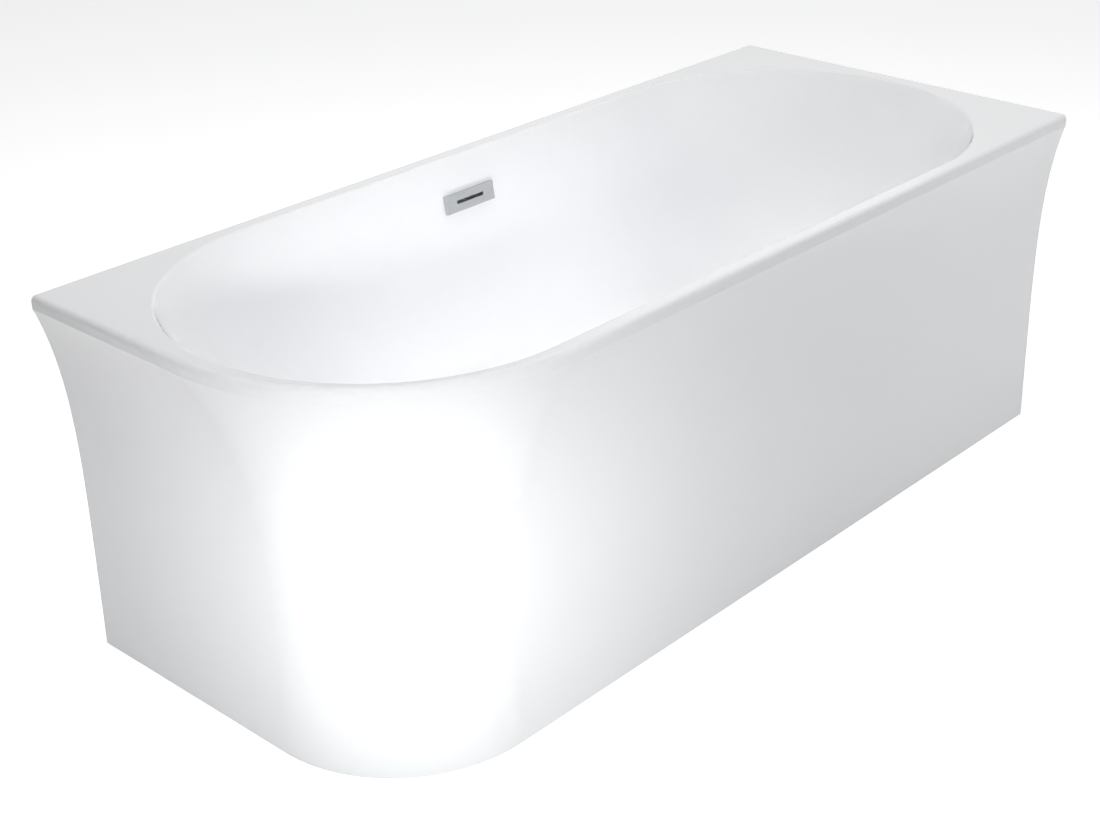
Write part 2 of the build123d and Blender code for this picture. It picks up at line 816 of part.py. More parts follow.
upper_lip = Plane((0, pipe_y, neck_bottom - seal_wall - nut_lip))
lower_lip = Plane((0, inlet_end_y + seal_wall + nut_lip, inlet_level), (1, 0, 0), (0, -1, 0))
for name, lip_plane in (("upper", upper_lip), ("lower", lower_lip)):
    nut = union_nut(
        lip_plane,
        pipe_nut_radius,
        neck_radius + slide_gap,
        pipe_radius + slide_gap,
        pipe_nut_height,
    )
    save(nut, f"pipe_nut_{name}")
    seal = ring(lip_plane.offset(nut_lip), neck_radius, pipe_radius + running_gap, seal_wall)
    save(seal, f"pipe_seal_{name}")

# Waste: a flange in the floor's recess, screwed into a body clamped under the shell
recess_floor = floor_level - recess_depth
waste_plane = Plane((0, waste_y, recess_floor))
save(ring(waste_plane, flange_radius, waste_hole_radius, flange_seal), "waste_flange_seal")

throat_bottom = recess_floor + flange_seal - throat_length
with BuildPart() as waste_flange:
    with BuildSketch(waste_plane.offset(flange_seal)):
        Circle(flange_radius)
    extrude(amount=flange_wall)
    with BuildSketch(waste_plane.offset(flange_seal)):
        Circle(throat_outer_radius)
    extrude(amount=-throat_length)
    with BuildSketch(waste_plane.offset(flange_seal - throat_length + spider_height)):
        Circle(throat_radius)
    extrude(amount=throat_length + flange_wall, mode=Mode.SUBTRACT)
    with BuildSketch(waste_plane.offset(flange_seal - throat_length)):
        Circle(throat_radius)
        Circle(spider_hub_radius, mode=Mode.SUBTRACT)
        with PolarLocations(0, 4):
            with Locations((throat_radius / 2, 0)):
                Rectangle(throat_radius, spider_arm, mode=Mode.SUBTRACT)
        Circle(stud_radius + slide_gap)
    extrude(amount=spider_height, mode=Mode.SUBTRACT)
    top_face = waste_flange.faces().filter_by(Axis.Z).sort_by(Axis.Z)[-1]
    chamfer(top_face.edges(), flange_chamfer)
save(waste_flange.part, "waste_flange")

body_plane = Plane((0, waste_y, body_top))
save(ring(body_plane, body_flange_radius, waste_hole_radius, body_seal), "waste_body_seal")

with BuildPart() as waste_body:
    with BuildSketch(body_plane):
        Circle(body_flange_radius)
    extrude(amount=-body_flange)
    with BuildSketch(body_plane):
        Circle(body_radius)
    extrude(amount=-body_height)
    with BuildSketch(body_plane.offset(-body_height)):
        Circle(outlet_neck_radius)
    extrude(amount=-outlet_neck)
    inlet_plane = Plane((0, inlet_end_y, inlet_level), (1, 0, 0), (0, -1, 0))
    with BuildSketch(inlet_plane):
        Circle(neck_radius)
    extrude(amount=inlet_neck + body_wall)
    with BuildSketch(body_plane.offset(-body_flange - body_wall)):
        Circle(body_radius - body_wall)
    extrude(amount=-(body_height - body_flange - 2 * body_wall), mode=Mode.SUBTRACT)
    with BuildSketch(body_plane):
        Circle(throat_outer_radius + slide_gap)
    extrude(amount=-body_flange - 2 * body_wall, mode=Mode.SUBTRACT)
    with BuildSketch(body_plane.offset(-body_height + body_wall)):
        Circle(outlet_neck_bore)
    extrude(amount=-outlet_neck - 2 * body_wall, mode=Mode.SUBTRACT)
    with BuildSketch(inlet_plane):
        Circle(pipe_radius + slide_gap)
    extrude(amount=pipe_socket + slide_gap, mode=Mode.SUBTRACT)
    with BuildSketch(inlet_plane):
        Circle(pipe_radius - pipe_wall)
    extrude(amount=inlet_neck + 2 * body_wall, mode=Mode.SUBTRACT)
save(waste_body.part, "waste_body")

# Press-to-close plug: its stem slides in a cartridge that stands on the flange's spider
cartridge_plane = Plane((0, waste_y, throat_bottom + spider_height))
with BuildPart() as plug_cartridge:
    with BuildSketch(cartridge_plane):
        RegularPolygon(cartridge_radius, 6)
    extrude(amount=cartridge_height / 2)
    with BuildSketch(cartridge_plane.offset(cartridge_height / 2)):
        Circle(cartridge_upper_radius)
    extrude(amount=cartridge_height / 2)
    with BuildSketch(cartridge_plane):
        Circle(stud_radius)
    extrude(amount=-spider_height)
    with BuildSketch(cartridge_plane.offset(cartridge_floor)):
        Circle(stem_radius + stem_gap)
    extrude(amount=cartridge_height, mode=Mode.SUBTRACT)
save(plug_cartridge.part, "plug_cartridge")

plug_plane = Plane((0, waste_y, floor_level + seat_gap))
save(ring(plug_plane, plug_seal_radius, plug_seal_inner, plug_seal_wall), "plug_seal")

cap_plane = Plane((0, waste_y, 0), (1, 0, 0), (0, -1, 0))
cap_under = floor_level + seat_gap + plug_seal_wall
with BuildPart() as plug_cap:
    with BuildSketch(cap_plane):
        with BuildLine():
            Line((0, cap_under), (plug_radius, cap_under))
            Line((plug_radius, cap_under), (plug_radius, cap_under + plug_edge))
            TangentArc(
                (0, cap_under + plug_edge + plug_dome),
                (plug_radius, cap_under + plug_edge),
                tangent=(1, 0),
            )
            Line((0, cap_under + plug_edge + plug_dome), (0, cap_under))
        make_face()
    revolve(axis=Axis((0, waste_y, 0), (0, 0, 1)))
save(plug_cap.part, "plug_cap")

with BuildPart() as plug_stem:
    with BuildSketch(Plane((0, waste_y, cap_under))):
        Circle(stem_radius)
    extrude(amount=-stem_length)
save(plug_stem.part, "plug_stem")

# Trap: a barrel with a dip tube inside, a screw cup below and the outlet towards +X
nut_plane = Plane((0, waste_y, trap_nut_bottom))
save(
    union_nut(
        nut_plane, trap_nut_radius, outlet_neck_radius + slide_gap, dip_outer + slide_gap, trap_nut_height
    ),
    "trap_nut",
)
save(ring(Plane((0, waste_y, collar_top)), outlet_neck_radius, dip_bore, washer_wall), "trap_washer")

outlet_plane = Plane((0, waste_y, outlet_level), (0, 1, 0), (1, 0, 0))
with BuildPart() as trap_body:
    with BuildSketch(Plane((0, waste_y, trap_barrel_bottom))):
        Circle(trap_radius)
    extrude(amount=trap_top - trap_barrel_bottom)
    with BuildSketch(outlet_plane):
        Circle(outlet_stub_radius)
    extrude(amount=outlet_stub_end)
    with BuildSketch(Plane((0, waste_y, trap_barrel_bottom))):
        Circle(trap_radius - trap_wall)
    extrude(amount=trap_top - trap_barrel_bottom - trap_wall, mode=Mode.SUBTRACT)
    with BuildSketch(Plane((0, waste_y, dip_bottom))):
        Circle(dip_outer)
    extrude(amount=collar_top - dip_bottom)
    with BuildSketch(Plane((0, waste_y, collar_top))):
        Circle(outlet_neck_radius)
    extrude(amount=-collar_flange)
    with BuildSketch(Plane((0, waste_y, dip_bottom))):
        Circle(dip_bore)
    extrude(amount=collar_top - dip_bottom, mode=Mode.SUBTRACT)
    with BuildSketch(outlet_plane.offset(dip_outer + body_wall)):
        Circle(outlet_radius - outlet_wall)
    extrude(amount=outlet_stub_end, mode=Mode.SUBTRACT)
    with BuildSketch(outlet_plane.offset(outlet_stub_end - outlet_insert - slide_gap)):
        Circle(spigot_radius + slide_gap)
    extrude(amount=outlet_stub_end, mode=Mode.SUBTRACT)
save(trap_body.part, "trap_body")

cup_bore = trap_radius + fit_gap
with BuildPart() as trap_cup:
    with BuildSketch(Plane((0, waste_y, trap_bottom))):
        Circle(cup_bore + cup_wall)
        with PolarLocations(cup_bore + cup_wall + grip_radius - grip_depth, 2 * grip_count):
            Circle(grip_radius, mode=Mode.SUBTRACT)
    extrude(amount=cup_rim_top - trap_bottom)
    with BuildSketch(Plane((0, waste_y, trap_barrel_bottom - cup_seal_wall))):
        Circle(cup_bore)
    extrude(amount=cup_rim_top, mode=Mode.SUBTRACT)
    with BuildSketch(Plane((0, waste_y, trap_bottom + cup_wall))):
        Circle(trap_radius - trap_wall)
    extrude(amount=cup_rim_top, mode=Mode.SUBTRACT)
save(trap_cup.part, "trap_cup")
save(
    ring(
        Plane((0, waste_y, trap_barrel_bottom - cup_seal_wall)),
        trap_radius,
        trap_radius - trap_wall,
        cup_seal_wall,
    ),
    "trap_cup_seal",
)

# Outlet: the free end of the pipe takes a standard push-fit or solvent socket
with BuildPart() as outlet_pipe:
    with BuildSketch(outlet_plane.offset(outlet_stub_end - outlet_insert)):
        Circle(spigot_radius)
    extrude(amount=outlet_end - outlet_stub_end + outlet_insert)
    with BuildSketch(outlet_plane.offset(outlet_shoulder)):
        Circle(outlet_radius)
    extrude(amount=outlet_end - outlet_shoulder)
    with BuildSketch(outlet_plane.offset(outlet_stub_end - outlet_insert)):
        Circle(outlet_radius - outlet_wall)
    extrude(amount=outlet_end, mode=Mode.SUBTRACT)
save(outlet_pipe.part, "outlet_pipe")

outlet_lip = Plane((outlet_stub_end + seal_wall + nut_lip, waste_y, outlet_level), (0, 1, 0), (-1, 0, 0))
save(
    union_nut(
        outlet_lip,
        outlet_nut_radius,
        outlet_stub_radius + slide_gap,
        outlet_radius + slide_gap,
        outlet_nut_length,
    ),
    "outlet_nut",
)
save(
    ring(outlet_lip.offset(nut_lip), outlet_stub_radius, spigot_radius + running_gap, seal_wall),
    "outlet_seal",
)
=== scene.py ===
"""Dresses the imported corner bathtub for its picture, in metres and in the frame's own axes."""

import logging
import math
from dataclasses import dataclass, field
from enum import Enum
from typing import Callable, Iterable, Sequence

import bmesh
import bpy
import numpy as np
from mathutils import Matrix, Vector


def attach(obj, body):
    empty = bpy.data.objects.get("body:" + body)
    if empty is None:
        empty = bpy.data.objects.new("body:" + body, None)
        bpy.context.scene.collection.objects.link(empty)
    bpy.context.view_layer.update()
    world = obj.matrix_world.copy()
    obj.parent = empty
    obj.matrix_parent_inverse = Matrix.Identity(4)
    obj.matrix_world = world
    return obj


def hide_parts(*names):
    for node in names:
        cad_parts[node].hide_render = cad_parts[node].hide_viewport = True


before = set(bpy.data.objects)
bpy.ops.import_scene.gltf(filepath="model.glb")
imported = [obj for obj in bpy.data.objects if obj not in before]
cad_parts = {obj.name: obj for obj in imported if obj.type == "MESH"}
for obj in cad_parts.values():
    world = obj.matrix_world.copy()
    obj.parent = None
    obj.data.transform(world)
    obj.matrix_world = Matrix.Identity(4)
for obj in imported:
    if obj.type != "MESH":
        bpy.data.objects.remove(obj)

Point = tuple[float, float, float]
Colour = tuple[float, float, float]
log = logging.getLogger("bathtub")

WOOD_DISTORTION, WOOD_DETAIL = 6.0, 3.0
BRUSHED_DETAIL, CLOUD_DETAIL = 8.0, 4.0
RAMP_START, RAMP_END = 0.25, 0.75
SHARP_TURN = math.radians(32.0)
FLAT_FACE_LEAD = 90
MERGE_DISTANCE = 1e-6
TURN_STEP = 1e-5
TINY, TIE, FAR = 1e-9, 1e-7, 1e9


class Grain(Enum):
    """The pattern that breaks up a finish."""

    CLOUD = "cloud"
    BRUSHED = "brushed"
    WOOD = "wood"
    CHIP = "chip"


@dataclass(frozen=True)
class Finish:
    """One surface finish, made of nodes on object coordinates.

    Attributes:
        name: The material's name.
        colour: Linear base colour at the middle of its range.
        drift: How far the colour drifts from that, as a share.
        roughness: Middle roughness.
        roughness_drift: How far the roughness drifts either way.
        metallic: 1 for bare metal, 0 for the rest.
        coat: Weight of a clear coat.
        coat_roughness: Roughness of that coat.
        specular: Specular level of the base.
        bump: Height of the surface relief, in metres.
        scale: Features per metre in the main pattern.
        stretch: The pattern's stretch along X, Y and Z.
        grain: The kind of pattern.
    """

    name: str
    colour: Colour
    drift: float = 0.04
    roughness: float = 0.4
    roughness_drift: float = 0.05
    metallic: float = 0.0
    coat: float = 0.0
    coat_roughness: float = 0.03
    specular: float = 0.5
    bump: float = 0.00005
    scale: float = 60.0
    stretch: Point = (1.0, 1.0, 1.0)
    grain: Grain = Grain.CLOUD

    def build(self) -> bpy.types.Material:
        """Makes the material once and returns it after that.

        Returns:
            The Blender material.
        """
        known = bpy.data.materials.get(self.name)
        if known is not None:
            return known
        material = bpy.data.materials.new(self.name)
        material.use_nodes = True
        tree = material.node_tree
        shader = tree.nodes["Principled BSDF"]
        shader.inputs["Metallic"].default_value = self.metallic
        shader.inputs["Specular IOR Level"].default_value = self.specular
        shader.inputs["Coat Weight"].default_value = self.coat
        shader.inputs["Coat Roughness"].default_value = self.coat_roughness
        pattern = self._pattern(tree)
        self._link_colour(tree, pattern, shader)
        self._link_roughness(tree, pattern, shader)
        self._link_bump(tree, pattern, shader)
        return material

    def _pattern(self, tree: bpy.types.NodeTree) -> bpy.types.NodeSocket:
        """Lays out the pattern's nodes.

        Args:
            tree: The material's node tree.

        Returns:
            A socket that runs from 0 to 1 over the surface.
        """
        place = tree.nodes.new("ShaderNodeTexCoord")
        mapping = tree.nodes.new("ShaderNodeMapping")
        mapping.inputs["Scale"].default_value = self.stretch
        tree.links.new(place.outputs["Object"], mapping.inputs["Vector"])
        if self.grain is Grain.CHIP:
            cells = tree.nodes.new("ShaderNodeTexVoronoi")
            cells.inputs["Scale"].default_value = self.scale
            tree.links.new(mapping.outputs["Vector"], cells.inputs["Vector"])
            return cells.outputs["Distance"]
        if self.grain is Grain.WOOD:
            rings = tree.nodes.new("ShaderNodeTexWave")
            rings.inputs["Scale"].default_value = self.scale
            rings.inputs["Distortion"].default_value = WOOD_DISTORTION
            rings.inputs["Detail"].default_value = WOOD_DETAIL
            tree.links.new(mapping.outputs["Vector"], rings.inputs["Vector"])
            return rings.outputs["Fac"]
        noise = tree.nodes.new("ShaderNodeTexNoise")
        noise.inputs["Scale"].default_value = self.scale
        fine = self.grain is Grain.BRUSHED
        noise.inputs["Detail"].default_value = BRUSHED_DETAIL if fine else CLOUD_DETAIL
        tree.links.new(mapping.outputs["Vector"], noise.inputs["Vector"])
        return noise.outputs["Fac"]

    def _link_colour(
        self, tree: bpy.types.NodeTree, pattern: bpy.types.NodeSocket, shader: bpy.types.Node
    ) -> None:
        """Spreads the base colour over the pattern.

        Args:
            tree: The material's node tree.
            pattern: The pattern's socket.
            shader: The surface shader.
        """
        ramp = tree.nodes.new("ShaderNodeValToRGB")
        low, high = ramp.color_ramp.elements
        low.position, high.position = RAMP_START, RAMP_END
        low.color = (*(max(0.0, c * (1 - self.drift)) for c in self.colour), 1.0)
        high.color = (*(min(1.0, c * (1 + self.drift)) for c in self.colour), 1.0)
        tree.links.new(pattern, ramp.inputs["Fac"])
        tree.links.new(ramp.outputs["Color"], shader.inputs["Base Color"])

    def _link_roughness(
        self, tree: bpy.types.NodeTree, pattern: bpy.types.NodeSocket, shader: bpy.types.Node
    ) -> None:
        """Spreads the roughness over the pattern.

        Args:
            tree: The material's node tree.
            pattern: The pattern's socket.
            shader: The surface shader.
        """
        spread = tree.nodes.new("ShaderNodeMapRange")
        spread.inputs["To Min"].default_value = max(0.0, self.roughness - self.roughness_drift)
        spread.inputs["To Max"].default_value = min(1.0, self.roughness + self.roughness_drift)
        tree.links.new(pattern, spread.inputs["Value"])
        tree.links.new(spread.outputs["Result"], shader.inputs["Roughness"])

    def _link_bump(
        self, tree: bpy.types.NodeTree, pattern: bpy.types.NodeSocket, shader: bpy.types.Node
    ) -> None:
        """Raises the surface by the pattern.

        Args:
            tree: The material's node tree.
            pattern: The pattern's socket.
            shader: The surface shader.
        """
        if self.bump <= 0.0:
            return
        bump = tree.nodes.new("ShaderNodeBump")
        bump.inputs["Distance"].default_value = self.bump
        bump.inputs["Strength"].default_value = 1.0
        tree.links.new(pattern, bump.inputs["Height"])
        tree.links.new(bump.outputs["Normal"], shader.inputs["Normal"])


class Finishes:
    """Every finish on the bath."""

    acrylic = Finish(
        "gloss_acrylic", (0.86, 0.865, 0.875), drift=0.006, roughness=0.12, roughness_drift=0.02,
        coat=0.5, coat_roughness=0.04, bump=0.0, scale=3.0,
    )
    apron = Finish(
        "gloss_apron_acrylic", (0.86, 0.867, 0.88), drift=0.006, roughness=0.13,
        roughness_drift=0.02, coat=0.5, coat_roughness=0.04, bump=0.0, scale=3.0,
    )
    chrome = Finish(
        "satin_chrome", (0.62, 0.63, 0.65), drift=0.03, roughness=0.22, roughness_drift=0.05,
        metallic=1.0, bump=0.000004, scale=40.0, stretch=(1.0, 1.0, 24.0), grain=Grain.BRUSHED,
    )
    stainless = Finish(
        "satin_stainless", (0.58, 0.58, 0.59), drift=0.05, roughness=0.3, metallic=1.0,
        bump=0.000006, scale=50.0, stretch=(1.0, 20.0, 20.0), grain=Grain.BRUSHED,
    )
    zinc = Finish(
        "zinc_plate", (0.56, 0.57, 0.59), drift=0.12, roughness=0.38, roughness_drift=0.1,
        metallic=1.0, bump=0.00001, scale=90.0,
    )
    bright_zinc = Finish(
        "bright_zinc", (0.62, 0.62, 0.6), drift=0.08, roughness=0.28, roughness_drift=0.08,
        metallic=1.0, bump=0.000008, scale=160.0,
    )
    brass = Finish(
        "turned_brass", (0.62, 0.44, 0.2), drift=0.06, roughness=0.26, metallic=1.0,
        bump=0.000006, scale=60.0, stretch=(1.0, 1.0, 14.0), grain=Grain.BRUSHED,
    )
    particle_board = Finish(
        "particle_board", (0.42, 0.29, 0.16), drift=0.35, roughness=0.8, roughness_drift=0.1,
        specular=0.2, bump=0.0004, scale=180.0, stretch=(0.6, 1.0, 1.0), grain=Grain.CHIP,
    )
    softwood = Finish(
        "planed_softwood", (0.52, 0.35, 0.18), drift=0.18, roughness=0.62, roughness_drift=0.08,
        specular=0.3, bump=0.00012, scale=40.0, stretch=(0.12, 1.0, 1.0), grain=Grain.WOOD,
    )
    softwood_across = Finish(
        "planed_softwood_across", (0.52, 0.35, 0.18), drift=0.18, roughness=0.62,
        roughness_drift=0.08, specular=0.3, bump=0.00012, scale=40.0, stretch=(1.0, 0.12, 1.0),
        grain=Grain.WOOD,
    )
    black_plastic = Finish(
        "black_moulded_plastic", (0.022, 0.022, 0.025), drift=0.2, roughness=0.48,
        bump=0.00003, scale=700.0,
    )
    foot_plastic = Finish(
        "foot_plastic", (0.02, 0.02, 0.022), drift=0.2, roughness=0.55, bump=0.00004, scale=600.0,
    )
    rubber = Finish(
        "black_rubber", (0.016, 0.016, 0.017), drift=0.2, roughness=0.72, specular=0.3,
        bump=0.00003, scale=500.0,
    )
    pipe_plastic = Finish(
        "pipe_polypropylene", (0.66, 0.66, 0.63), drift=0.04, roughness=0.4,
        bump=0.00003, scale=220.0,
    )
    nut_plastic = Finish(
        "nut_polypropylene", (0.035, 0.038, 0.045), drift=0.12, roughness=0.42,
        bump=0.00003, scale=400.0,
    )


class MeshWorks:
    """Mesh tools that several pieces share."""

    @staticmethod
    def torus_grid(name: str, loops: np.ndarray) -> bpy.types.Object:
        """Makes a closed mesh from a grid of points that joins up both ways.

        Args:
            name: The new object's name.
            loops: Points as an array of columns by rows by 3.

        Returns:
            The new object, linked to the scene.
        """
        columns, rows = loops.shape[:2]
        i, j = np.meshgrid(np.arange(columns), np.arange(rows), indexing="ij")
        right, up = (i + 1) % columns, (j + 1) % rows
        faces = np.stack([i * rows + j, right * rows + j, right * rows + up, i * rows + up], -1)
        return MeshWorks.make(name, loops.reshape(-1, 3), faces.reshape(-1, 4))

    @staticmethod
    def strip(name: str, loops: np.ndarray) -> bpy.types.Object:
        """Makes a closed bar from closed profiles in a row, with a flat cap at each end.

        Args:
            name: The new object's name.
            loops: Points as an array of profiles by points by 3.

        Returns:
            The new object, linked to the scene.
        """
        columns, rows = loops.shape[:2]
        i, j = np.meshgrid(np.arange(columns - 1), np.arange(rows), indexing="ij")
        up = (j + 1) % rows
        faces = np.stack([i * rows + j, (i + 1) * rows + j, (i + 1) * rows + up, i * rows + up], -1)
        every = [tuple(f) for f in faces.reshape(-1, 4).tolist()]
        every.append(tuple(range(rows)))
        every.append(tuple((columns - 1) * rows + k for k in range(rows)))
        return MeshWorks.make(name, loops.reshape(-1, 3), every)

    @staticmethod
    def make(name: str, points: np.ndarray, faces: Iterable[Sequence[int]]) -> bpy.types.Object:
        """Makes an object from points and faces, with its normals turned outwards.

        Args:
            name: The new object's name.
            points: Points as an array of rows of 3.
            faces: Each face's point numbers.

        Returns:
            The new object, linked to the scene.
        """
        mesh = bpy.data.meshes.new(name)
        mesh.from_pydata(points.tolist(), [], [tuple(int(v) for v in f) for f in faces])
        worked = bmesh.new()
        worked.from_mesh(mesh)
        bmesh.ops.remove_doubles(worked, verts=worked.verts, dist=MERGE_DISTANCE)
        bmesh.ops.recalc_face_normals(worked, faces=worked.faces)
        worked.to_mesh(mesh)
        worked.free()
        piece = bpy.data.objects.new(name, mesh)
        bpy.context.scene.collection.objects.link(piece)
        return piece

    @staticmethod
    def shade(piece: bpy.types.Object) -> None:
        """Shades a piece smooth, apart from its sharp edges, with flat faces kept flat.

        Args:
            piece: The object to shade.
        """
        mesh = piece.data
        worked = bmesh.new()
        worked.from_mesh(mesh)
        for edge in worked.edges:
            edge.smooth = len(edge.link_faces) == 2 and edge.calc_face_angle() < SHARP_TURN
        for face in worked.faces:
            face.smooth = True
        worked.to_mesh(mesh)
        worked.free()
        weighted = piece.modifiers.new("flat_faces_lead", "WEIGHTED_NORMAL")
        weighted.mode = "FACE_AREA"
        weighted.weight = FLAT_FACE_LEAD
        weighted.keep_sharp = True

    @staticmethod
    def cut(piece: bpy.types.Object, cutter: bpy.types.Object) -> None:
        """Takes one object's space out of another and removes the first.

        Args:
            piece: The object that is cut.
            cutter: The object whose space is taken out.
        """
        step = piece.modifiers.new("cut", "BOOLEAN")
        step.operation = "DIFFERENCE"
        step.solver = "EXACT"
        step.object = cutter
        graph = bpy.context.evaluated_depsgraph_get()
        cut_mesh = bpy.data.meshes.new_from_object(piece.evaluated_get(graph))
        piece.modifiers.clear()
        piece.data = cut_mesh
        bpy.data.objects.remove(cutter)


@dataclass
class Shell:
    """The acrylic moulding: deck, turned-down lip and basin."""

    half_length: float = 0.825
    half_width: float = 0.35
    rim_level: float = 0.6
    lip_bottom: float = 0.58
    corner_radius: float = 0.375
    lip_round: float = 0.009
    wall_edge_round: float = 0.002
    basin_half_length: float = 0.795
    basin_half_width: float = 0.325
    basin_depth: float = 0.43
    side_slope: float = math.radians(9.5)
    end_slope: float = math.radians(24.0)
    floor_round: float = 0.09
    basin_edge_round: float = 0.005
    wall: float = 0.005
    waste_y: float = 0.09985
    recess_radius: float = 0.0375
    recess_depth: float = 0.003
    recess_edge: float = 0.0006
    hole_radius: float = 0.027
    boss_radius: float = 0.046
    boss_drop: float = 0.006
    overflow_level: float = 0.522
    overflow_hole: tuple[float, float] = (0.092, 0.022)
    overflow_cut: tuple[float, float] = (-0.012, 0.008)
    end_steps: int = 96
    side_steps: int = 96
    round_steps: int = 15
    wall_steps: int = 13
    edge_steps: int = 7
    lip_steps: int = 13
    outside_steps: int = 9
    slot_steps: int = 13

    @property
    def floor_level(self) -> float:
        """The level of the basin's floor."""
        return self.rim_level - self.basin_depth

    @property
    def end_centre(self) -> float:
        """How far the round ends' centres stand from the middle at the rim."""
        return self.basin_half_length - self.basin_half_width

    def _slope(self, turn: float) -> float:
        """The wall's lean at one place of a round end.

        Args:
            turn: The place's angle from the bath's long axis.

        Returns:
            The lean from upright.
        """
        side, end = math.tan(self.side_slope), math.tan(self.end_slope)
        return math.atan(side + (end - side) * math.cos(turn))

    def _reach(self, turn: float, level: float, growth: float) -> float:
        """How far the basin's section reaches from the middle in one direction.

        Args:
            turn: The direction's angle from the long axis.
            level: The height of the section.
            growth: 0 for the inside face, the wall's thickness for the outside face.

        Returns:
            The reach.
        """
        side, end = math.tan(self.side_slope), math.tan(self.end_slope)
        slope = self._slope(turn)

        def plain(at: float) -> float:
            """The reach of the straight wall at one level."""
            drop = self.rim_level - at
            centre = self.end_centre - drop * (end - side)
            return centre * math.cos(turn) + self.basin_half_width - drop * side + growth

        foot, radius = self.floor_level - growth, self.floor_round + growth
        rise = level - foot
        if rise < radius * (1 - math.sin(slope)):
            inset = radius * math.tan(math.pi / 4 - slope / 2)
            return plain(foot) - inset + math.sqrt(max(0.0, radius**2 - (radius - rise) ** 2))
        edge = self.basin_edge_round
        if growth == 0.0 and level > self.rim_level - edge * (1 - math.sin(slope)):
            centre = edge * (1 - math.sin(slope)) / math.cos(slope)
            height = level - (self.rim_level - edge)
            return plain(self.rim_level) + centre - math.sqrt(max(0.0, edge**2 - height**2))
        return plain(level)

    def _end_point(self, turn: float, level: float, growth: float) -> tuple[float, float]:
        """A point of the right-hand round end.

        Args:
            turn: The angle of the wall's outward direction there.
            level: The height.
            growth: As for _reach.

        Returns:
            X and Y.
        """
        reach = self._reach(turn, level, growth)
        after = self._reach(turn + TURN_STEP, level, growth)
        before = self._reach(turn - TURN_STEP, level, growth)
        change = (after - before) / (2 * TURN_STEP)
        x = reach * math.cos(turn) - change * math.sin(turn)
        y = reach * math.sin(turn) + change * math.cos(turn)
        return x, y

    def _stations(self) -> list[tuple[int, float]]:
        """The places round the bath, anticlockwise.

        Returns:
            Pairs of end or side number and the angle or share along it: 0 the right end, 1 the
            back, 2 the left end and 3 the front.
        """
        corner = math.atan2(self.half_width, self.half_length - self.end_centre)
        free = math.atan2(self.corner_radius - self.half_width, self.half_length - self.end_centre)
        quarter, half = math.pi / 2, self.end_steps // 4
        right = np.concatenate([
            np.linspace(-quarter, -corner, half, endpoint=False),
            np.linspace(-corner, corner, 2 * half, endpoint=False),
            np.linspace(corner, quarter, half, endpoint=False),
        ])
        left = np.concatenate([
            np.linspace(quarter, math.pi - corner, half, endpoint=False),
            np.linspace(math.pi - corner, math.pi - free, half, endpoint=False),
            np.linspace(math.pi - free, 3 * quarter, 2 * half, endpoint=False),
        ])
        side = np.linspace(0.0, 1.0, self.side_steps, endpoint=False)
        return (
            [(0, float(t)) for t in right]
            + [(1, float(s)) for s in side]
            + [(2, float(t)) for t in left]
            + [(3, float(s)) for s in side]
        )

    def _basin_point(self, station: tuple[int, float], level: float, growth: float) -> Point:
        """A point of the basin's wall at one station and level.

        Args:
            station: As _stations gives it.
            level: The height.
            growth: As for _reach.

        Returns:
            The point.
        """
        part, place = station
        if part == 0:
            return (*self._end_point(place, level, growth), level)
        if part == 2:
            x, y = self._end_point(math.pi - place, level, growth)
            return (-x, y, level)
        x, y = self._end_point(math.pi / 2, level, growth)
        if part == 1:
            return (x * (1 - 2 * place), y, level)
        return (x * (2 * place - 1), -y, level)

    def _rim_point(
        self, station: tuple[int, float], level: float, front_inset: float, wall_inset: float
    ) -> Point:
        """A point of the bath's outline at one station.

        Args:
            station: As _stations gives it.
            level: The height.
            front_inset: The inset along the front, the free corner and the left end.
            wall_inset: The inset along the back and the right end.

        Returns:
            The point.
        """
        part, place = station
        front, left = front_inset - self.half_width, front_inset - self.half_length
        back, right = self.half_width - wall_inset, self.half_length - wall_inset
        middle = (self.corner_radius - self.half_length, self.corner_radius - self.half_width)

        def on_corner(start: tuple[float, float], way: tuple[float, float]) -> Point:
            """Where a ray meets the free corner's round, moved in by the inset."""
            ox, oy = start[0] - middle[0], start[1] - middle[1]
            b = ox * way[0] + oy * way[1]
            reach = -b + math.sqrt(b * b - ox * ox - oy * oy + self.corner_radius**2)
            x, y = ox + reach * way[0], oy + reach * way[1]
            size = (self.corner_radius - front_inset) / self.corner_radius
            return (middle[0] + x * size, middle[1] + y * size, level)

        if part == 1:
            return (self.end_centre * (1 - 2 * place), back, level)
        if part == 3:
            x = self.end_centre * (2 * place - 1)
            return on_corner((x, 0.0), (0.0, -1.0)) if x < middle[0] else (x, front, level)
        start = self.end_centre if part == 0 else -self.end_centre
        way = (math.cos(place), math.sin(place))
        corner_from = math.sin(math.atan2(middle[1], self.half_length - self.end_centre))
        if part == 2 and way[1] < corner_from + TINY:
            return on_corner((start, 0.0), way)
        reach_x = reach_y = FAR
        if abs(way[0]) > TINY:
            reach_x = (math.copysign(self.half_length, way[0]) - start) / way[0]
        if abs(way[1]) > TINY:
            reach_y = self.half_width / abs(way[1])
        on_end, on_side = reach_x <= reach_y + TIE, reach_y <= reach_x + TIE
        x, y = start + way[0] * min(reach_x, reach_y), way[1] * min(reach_x, reach_y)
        if on_end:
            x = right if way[0] > 0 else left
        if on_side:
            y = back if way[1] > 0 else front
        return (x, y, level)

